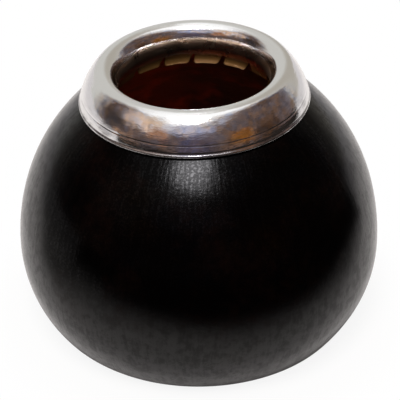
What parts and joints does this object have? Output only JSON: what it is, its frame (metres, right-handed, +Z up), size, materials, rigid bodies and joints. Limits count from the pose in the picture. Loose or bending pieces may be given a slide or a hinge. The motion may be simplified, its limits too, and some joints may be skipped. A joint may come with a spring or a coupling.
{
  "type": "mate cup",
  "caption": "Round drinking cup made from a dried gourd, with a flat foot, a hollow inside and a spun metal collar whose slit fingers grip the rim of the mouth.",
  "frame": {"origin": "on the surface that the cup stands on, under the middle of the gourd", "axes": "+Z up along the gourd's axis; the front of the picture faces -Y, and the collar's top leans slightly toward -X"},
  "size_m": [0.0978, 0.0978, 0.0768],
  "materials": {
    "gourd_shell": "dark gloss lacquer over dried gourd",
    "collar_metal": "polished, lightly scratched"
  },
  "bodies": {
    "root": {"gourd": "gourd_shell", "collar": "collar_metal"}
  },
  "joints": []
}
